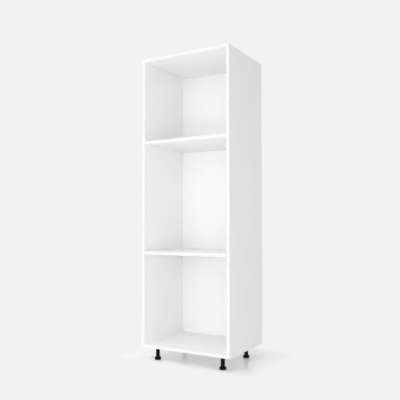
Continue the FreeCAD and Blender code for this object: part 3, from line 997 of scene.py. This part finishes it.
@dataclass
class CornerJoints:
    """Cams, bolts and dowels that join the side panels to the top and bottom panels."""

    radius: float = 7.4 * MM
    height: float = 13 * MM
    middle: float = 9.5 * MM
    hollow: float = 5.5 * MM
    hollow_half: float = 3.3 * MM
    slot_half: float = 2.1 * MM
    rim: float = 0.5 * MM
    dish: float = 0.35 * MM
    cross_arm: float = 3.5 * MM
    cross_half: float = 0.7 * MM
    cross_depth: float = 2 * MM
    cross_taper: float = 0.8
    mark_gap: float = 1.19 * MM
    mark_radius: float = 0.85 * MM
    mark_depth: float = 0.5 * MM
    mark_start: float = 0.2 * MM
    mark_sides: int = 3
    sides: int = 64

    def cam(self) -> bpy.types.Object:
        """Models a cam whose driver's cross looks down and whose slot and mark point along +X.

        Returns:
            The cam.
        """
        cam = turned("cam", [
            (self.radius - 4 * self.rim, self.dish),
            (self.radius - 3 * self.rim, 0.0),
            (self.radius - self.rim, 0.0),
            (self.radius, self.rim),
            (self.radius, self.height - self.rim),
            (self.radius - self.rim, self.height),
        ], self.sides)
        hollow = turned("hollow", [
            (self.hollow, self.middle - self.hollow_half),
            (self.hollow, self.middle + self.hollow_half),
        ], self.sides)
        combine(cam, hollow, Effect.CUT)
        slot = block("slot", (0, -self.slot_half, self.middle - self.slot_half),
                     (self.radius + PAST, self.slot_half, self.middle + self.slot_half))
        combine(cam, slot, Effect.CUT)
        driver = driver_cross(self.cross_arm, self.cross_half, self.cross_depth, self.cross_taper)
        combine(cam, driver, Effect.CUT)
        mark = turned("mark", [
            (self.mark_radius, -self.mark_start),
            (self.mark_radius, self.dish + self.mark_depth),
        ], self.mark_sides)
        settle(mark, (self.cross_arm + self.mark_gap, 0, 0), (0, 0, -90))
        combine(cam, mark, Effect.CUT)
        return finish_mesh(cam)

    def build(self) -> None:
        """Sets the cams and dresses the bolts and dowels, which the boards hide."""
        cast, plate, wood = CAST_ZINC.material(), ZINC_PLATE.material(), DOWEL_BEECH.material()
        model = self.cam()
        for name, upside in (("bottom", 0), ("top", 180)):
            low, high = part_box(name + "_cam_locks")
            outer = low.z if name == "bottom" else high.z
            spots = []
            for y in (low.y + self.radius, high.y - self.radius):
                spots.append(((high.x - self.radius, y, outer), (upside, 0, 0)))
                spots.append(((low.x + self.radius, y, outer), (upside, 0, 180)))
            piece = copies(model, name + "_cast_cams", spots)
            stand_in(piece, name + "_cam_locks", "carcass", cast)
            dress(name + "_cam_bolts", plate)
            dress(name + "_dowels", wood)
        bpy.data.objects.remove(model)


@dataclass
class LevellingLegs:
    """Four black legs, each a plate, a tube, a screw foot and a glide."""

    flare: float = 20 * MM
    flare_top: float = 16.6 * MM
    sole: float = 3 * MM
    shoulder: float = 7 * MM
    shoulder_steps: int = 10
    edge: float = 1.2 * MM
    edge_start: float = -60
    edge_steps: int = 3
    pin_hole: float = 4.1 * MM
    pin_depth: float = 8 * MM
    neck: float = 1.2 * MM
    neck_drop: float = 0.4 * MM
    sides: int = 96
    smooth: float = 32
    grips: int = 8
    grip_radius: float = 6 * MM
    grip_depth: float = 0.8 * MM
    grip_sides: int = 40
    root: float = 6.9 * MM
    crest: float = 7.95 * MM
    pitch: float = 4 * MM
    stem_seat: float = 2 * MM
    stem_top: float = 71 * MM
    stem_steps: int = 40
    screw_offset: float = 20 * MM
    screw_shank: float = 2 * MM
    screw_head: float = 3.8 * MM
    screw_length: float = 15 * MM
    screw_pitch: float = 1.8 * MM
    screw_twist: float = 11

    def foot(self) -> bpy.types.Object:
        """Models a screw foot about Z, from its sole up to the end of its thread.

        Returns:
            The foot.
        """
        foot = turned("foot", [
            (self.pin_hole, self.sole + self.pin_depth),
            (self.pin_hole, self.sole),
            (self.flare - self.edge, self.sole),
            *arc((self.flare - self.edge, self.sole + self.edge), self.edge,
                 self.edge_start, 0, self.edge_steps),
            *arc((self.flare - self.shoulder, self.flare_top - self.shoulder), self.shoulder,
                 0, 90, self.shoulder_steps),
            (self.crest + self.neck, self.flare_top),
            (self.root, self.flare_top - self.neck_drop),
        ], self.sides)
        grip = turned("grip", [
            (self.grip_radius, self.sole - PAST),
            (self.grip_radius, self.flare_top + PAST),
        ], self.grip_sides)
        reach = self.flare + self.grip_radius - self.grip_depth
        angles = [math.tau * (number + 0.5) / self.grips for number in range(self.grips)]
        cutters = copies(grip, "grips", [
            ((reach * math.cos(angle), reach * math.sin(angle), 0), (0, 0, 0))
            for angle in angles])
        bpy.data.objects.remove(grip)
        combine(foot, cutters, Effect.CUT)
        stem = threaded_rod("stem", self.root, self.crest, self.pitch,
                            self.flare_top - self.stem_seat, self.stem_top, self.stem_steps)
        combine(foot, stem, Effect.JOIN)
        return finish_mesh(foot, angle=self.smooth)

    def build(self) -> None:
        """Builds a foot at each corner and dresses the plates, tubes and glides."""
        black, matt = BLACK_PLASTIC.material(), GLIDE_PLASTIC.material()
        model = self.foot()
        axes = []
        for corner in ("front_left", "front_right", "rear_left", "rear_right"):
            low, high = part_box("leg_tube_" + corner)
            x, y = (low.x + high.x) / 2, (low.y + high.y) / 2
            axes.append((x, y))
            foot = copies(model, "screw_foot_" + corner, [((x, y, 0), (0, 0, 0))])
            stand_in(foot, "leg_foot_" + corner, "foot_" + corner, black)
            dress("leg_plate_" + corner, black)
            dress("leg_tube_" + corner, black)
            dress("leg_glide_" + corner, matt)
        bpy.data.objects.remove(model)
        self.drive_screws(axes)

    def drive_screws(self, axes: Sequence[tuple[float, float]]) -> None:
        """Drives four screws through each mounting plate, each turned on by the twist.

        Args:
            axes: each leg's axis.
        """
        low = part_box("leg_plate_screws")[0].z
        screw = CrossScrew(self.screw_shank, self.screw_head, self.screw_length,
                           self.screw_pitch).model()
        offsets = (-self.screw_offset, self.screw_offset)
        places = [(x + over, y + along, low)
                  for x, y in axes for over in offsets for along in offsets]
        spots = [(place, (0, 0, self.screw_twist * number)) for number, place in enumerate(places)]
        piece = copies(screw, "plate_cross_screws", spots)
        bpy.data.objects.remove(screw)
        stand_in(piece, "leg_plate_screws", "carcass", ZINC_PLATE.material())


# Studio


@dataclass(frozen=True)
class Softbox:
    """A soft area lamp that looks at a point.

    A grid may narrow its spread, in degrees, and most are kept out of reflections.
    """

    name: str
    place: Point
    target: Point
    width: float
    height: float
    watts: float
    spread: float = 180.0
    in_gloss: bool = False

    def build(self) -> None:
        """Adds the lamp, which the camera doesn't see."""
        clear_selection()
        bpy.ops.object.light_add(type="AREA", location=self.place)
        lamp = bpy.context.object
        lamp.name = self.name
        lamp.data.shape = "RECTANGLE"
        lamp.data.size, lamp.data.size_y = self.width, self.height
        lamp.data.energy = self.watts
        lamp.data.spread = math.radians(self.spread)
        lamp.visible_camera = False
        lamp.visible_glossy = self.in_gloss
        way = Vector(self.target) - Vector(self.place)
        lamp.rotation_euler = way.to_track_quat("-Z", "Y").to_euler()


LAMPS = (
    Softbox("middle_softbox", (0.0, -4.6, 0.7), (0.0, 0.0, 0.95), 2.0, 0.6, 11.0),
    Softbox("key_softbox", (2.2, -4.2, 1.0), (0.0, 0.0, 0.95), 2.0, 0.6, 43.0),
    Softbox("fill_softbox", (-2.2, -4.2, 1.0), (0.0, 0.0, 0.95), 2.0, 0.6, 14.0),
    Softbox("low_softbox", (0.0, -3.0, 0.05), (0.0, 0.0, 1.2), 3.0, 0.5, 9.2),
    Softbox("front_softbox", (0.0, -5.0, 3.0), (0.0, 0.0, 0.6), 3.0, 2.0, 22.6),
    Softbox("high_softbox", (0.0, -2.8, 4.2), (0.0, 0.0, 0.3), 3.0, 2.0, 2.6),
    Softbox("overhead_softbox", (0.0, -1.2, 4.8), (0.0, 0.0, 0.0), 3.2, 3.2, 32.1, in_gloss=True),
    Softbox("right_softbox", (2.4, -1.8, 0.15), (0.3, -0.1, 0.25), 1.2, 0.3, 5.0, in_gloss=True),
    Softbox("foot_softbox", (5.0, -1.2, 0.4), (0.3, 0.0, 0.1), 1.2, 0.5, 0.45, 40.0, True),
    Softbox("sill_softbox", (0.0, -2.6, 2.2), (0.0, -0.2, 0.1), 0.8, 0.4, 0.095, 14.0),
    Softbox("near_left_softbox", (-2.4, -1.5, 0.9), (-0.3, -0.2, 0.9), 0.4, 1.6, 12.0),
    Softbox("left_softbox", (-5.0, 0.0, 1.2), (0.0, 0.0, 0.9), 2.4, 2.4, 10.0),
    Softbox("rear_softbox", (0.0, 5.0, 0.5), (0.0, 0.0, 1.2), 3.0, 1.0, 30.0),
)
WORLD_LIGHT = 0.525
BACKDROP = "F2F2F2"


@dataclass(frozen=True)
class StudioFloor(Finish):
    """Pale coated studio floor, faintly glossy.

    Under the cabinet and close round it the floor shows its shadow and reflection, and further
    out it fades into the tone of the backdrop, so there is no horizon.
    """

    centre: Point = (-0.01, 0.09, 0.0)
    half_width: float = 0.4
    half_depth: float = 0.24
    fade: float = 0.11
    most: float = 0.95
    lift: float = 0.115

    def surface(self, tree: bpy.types.NodeTree, shader: bpy.types.Node) -> bpy.types.NodeSocket:
        """Fades the lit floor into the backdrop's tone, for the camera alone.

        The camera also sees the lit floor a little lifted, and no floor from below.

        Args:
            tree: the material's node tree.
            shader: the lit floor.

        Returns:
            What the material shows.
        """
        seen = out(add_node(tree, "LightPath"), "Is Camera Ray")
        centred = add_node(tree, "VectorMath", {
            "Vector": out(add_node(tree, "TexCoord"), "Object"), "Vector_001": self.centre},
            operation="SUBTRACT")
        aside = add_node(tree, "VectorMath", {
            "Vector": out(centred, "Vector")}, operation="ABSOLUTE")
        past = add_node(tree, "VectorMath", {
            "Vector": out(aside, "Vector"), "Vector_001": (self.half_width, self.half_depth, 0)},
            operation="SUBTRACT")
        outside = add_node(tree, "VectorMath", {
            "Vector": out(past, "Vector"), "Vector_001": (0, 0, 0)}, operation="MAXIMUM")
        away = add_node(tree, "VectorMath", {"Vector": out(outside, "Vector")}, operation="LENGTH")
        faded = add_node(tree, "MapRange", {
            "Value": out(away, "Value"), "From Min": 0.0, "From Max": self.fade,
            "To Min": 1 - self.most, "To Max": 1.0}, interpolation_type="SMOOTHSTEP")
        share = add_node(tree, "Math", {
            "Value": out(faded, "Result"), "Value_001": seen}, operation="MULTIPLY")
        lift = add_node(tree, "Math", {
            "Value": seen, "Value_001": self.lift}, operation="MULTIPLY")
        glow = add_node(tree, "Emission", {"Strength": out(lift, "Value")})
        lit = add_node(tree, "AddShader", {
            "Shader": out(shader, "BSDF"), "Shader_001": out(glow, "Emission")})
        flat = add_node(tree, "Emission", {"Color": linear(BACKDROP), "Strength": 1.0})
        mix = add_node(tree, "MixShader", {
            "Fac": out(share, "Value"), "Shader": out(lit, "Shader"),
            "Shader_001": out(flat, "Emission")})
        below = add_node(tree, "Math", {
            "Value": out(add_node(tree, "NewGeometry"), "Backfacing"), "Value_001": seen},
            operation="MULTIPLY")
        one_sided = add_node(tree, "MixShader", {
            "Fac": out(below, "Value"), "Shader": out(mix, "Shader"),
            "Shader_001": out(add_node(tree, "BsdfTransparent"), "BSDF")})
        return out(one_sided, "Shader")


FLOOR = StudioFloor("coated_studio_floor", "F8F8F8", roughness=0.25)


@dataclass
class Studio:
    """The floor, backdrop, lamps and camera."""

    floor_size: float = 30.0
    lens: float = 47.164
    sensor: float = 36.0
    rise: float = 0.0216
    nearest: float = 0.05
    farthest: float = 60
    camera_place: Point = (1.628014, -2.819301, 0.817937)
    camera_turn: Point = (91.823, 0.0, 30.306)

    def build(self) -> None:
        """Sets up the whole studio."""
        self.build_floor()
        self.build_world()
        for lamp in LAMPS:
            lamp.build()
        self.build_camera()

    def build_floor(self) -> None:
        """Lays the floor under the glides."""
        clear_selection()
        bpy.ops.mesh.primitive_plane_add(size=self.floor_size)
        floor = name_piece(bpy.context.object, "studio_floor")
        floor.data.materials.append(FLOOR.material())

    def build_world(self) -> None:
        """Lights the room evenly and shows the backdrop's tone to the camera and in gloss."""
        world = bpy.data.worlds.new("studio")
        bpy.context.scene.world = world
        world.use_nodes = True
        tree = world.node_tree
        tree.nodes.clear()
        seen = add_node(tree, "LightPath")
        direct = add_node(tree, "Math", {
            "Value": out(seen, "Is Camera Ray"), "Value_001": out(seen, "Is Glossy Ray")},
            operation="MAXIMUM")
        backdrop = add_node(tree, "Math", {
            "Value": out(direct, "Value"), "Value_001": out(seen, "Is Transmission Ray")},
            operation="MAXIMUM")
        light = add_node(tree, "Background", {"Color": (1, 1, 1, 1), "Strength": WORLD_LIGHT})
        plain = add_node(tree, "Background", {"Color": linear(BACKDROP), "Strength": 1.0})
        mix = add_node(tree, "MixShader", {
            "Fac": out(backdrop, "Value"), "Shader": out(light, "Background"),
            "Shader_001": out(plain, "Background")})
        add_node(tree, "OutputWorld", {"Surface": out(mix, "Shader")})

    def build_camera(self) -> None:
        """Sets the camera where the photograph was taken from."""
        clear_selection()
        turn = [math.radians(part) for part in self.camera_turn]
        bpy.ops.object.camera_add(location=self.camera_place, rotation=turn)
        camera = bpy.context.object
        camera.data.lens = self.lens
        camera.data.sensor_width = self.sensor
        camera.data.shift_y = self.rise
        camera.data.clip_start = self.nearest
        camera.data.clip_end = self.farthest
        bpy.context.scene.camera = camera
        bpy.context.scene.view_settings.view_transform = "Standard"


def main() -> None:
    """Builds the cabinet's sub-assemblies in order, then the studio."""
    logging.basicConfig(level=logging.INFO, format="%(name)s: %(message)s")
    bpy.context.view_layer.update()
    for assembly in (Carcass(), ShelfSupports(), CornerJoints(), BackFixings(), LevellingLegs()):
        assembly.build()
    Studio().build()


if __name__ == "__main__":
    main()
